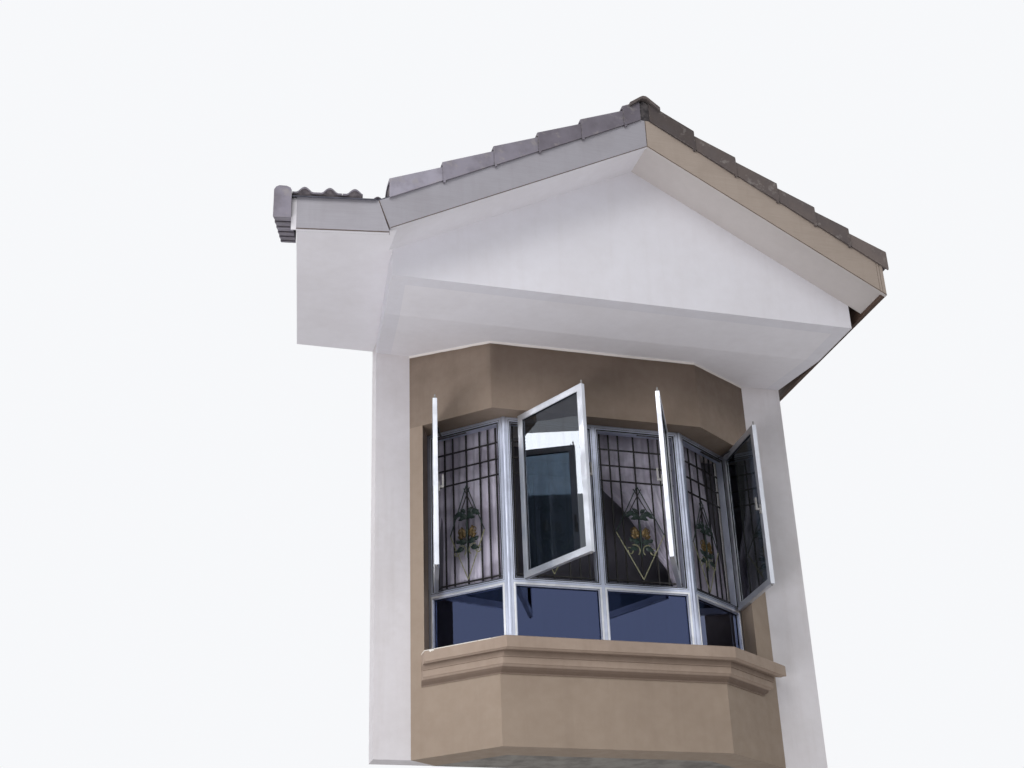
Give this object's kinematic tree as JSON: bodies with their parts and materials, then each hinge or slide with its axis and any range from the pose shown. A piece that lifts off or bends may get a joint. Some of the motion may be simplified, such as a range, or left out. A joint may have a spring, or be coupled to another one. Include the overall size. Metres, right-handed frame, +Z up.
{
  "type": "bay window with gabled hood",
  "caption": "Canted masonry bay window with moulded sill, open aluminium casements and a tiled gable hood, cut off at the back of the house wall.",
  "frame": {"origin": "on the back of the house wall, behind the middle of the bay's front, level with the floor slab's middle", "axes": "+X along the wall to the viewer's right, +Y into the house, +Z up"},
  "size_m": [4.4412, 1.816, 4.495],
  "materials": {
    "wall_paint": "off-white exterior paint on render",
    "soffit_paint": "matt white exterior paint",
    "bay_paint": "tan exterior paint on render",
    "floor_concrete": "bare concrete",
    "window_aluminium": "natural anodised",
    "window_glass": "dark blue tinted, reflective",
    "handle_enamel": "off-white enamel",
    "hinge_steel": "dull",
    "board_paint": "grey-beige paint, weathered",
    "eave_board_paint": "dark brown paint",
    "roof_tile": "weathered concrete roll tiles"
  },
  "bodies": {
    "root": {"wall_pier": "wall_paint", "wall_right": "wall_paint", "wall_lintel": "wall_paint", "wall_upper": "wall_paint", "gable_wall": "wall_paint", "cheek_left": "wall_paint", "cheek_right": "wall_paint", "hood_soffit": "soffit_paint", "verge_soffit_left": "soffit_paint", "verge_soffit_right": "soffit_paint", "return_soffit": "soffit_paint", "return_side": "soffit_paint", "apron_left": "bay_paint", "apron_front": "bay_paint", "apron_right": "bay_paint", "strip_left": "bay_paint", "strip_right": "bay_paint", "band_left": "bay_paint", "band_front": "bay_paint", "band_right": "bay_paint", "sill_left": "bay_paint", "sill_front": "bay_paint", "sill_right": "bay_paint", "bay_floor": "floor_concrete", "frame_left": "window_aluminium", "frame_front": "window_aluminium", "frame_right": "window_aluminium", "post_left": "window_aluminium", "post_right": "window_aluminium", "sash_1": "window_aluminium", "sash_2": "window_aluminium", "sash_3": "window_aluminium", "sash_4": "window_aluminium", "fixed_panes": "window_glass", "sash_panes": "window_glass", "sash_handles": "handle_enamel", "sash_stays": "hinge_steel", "barge_left": "board_paint", "barge_right": "board_paint", "return_board": "board_paint", "eave_right_board": "eave_board_paint", "roof_left": "roof_tile", "roof_right": "roof_tile", "ridge_tiles": "roof_tile", "return_roof": "roof_tile"}
  },
  "joints": []
}
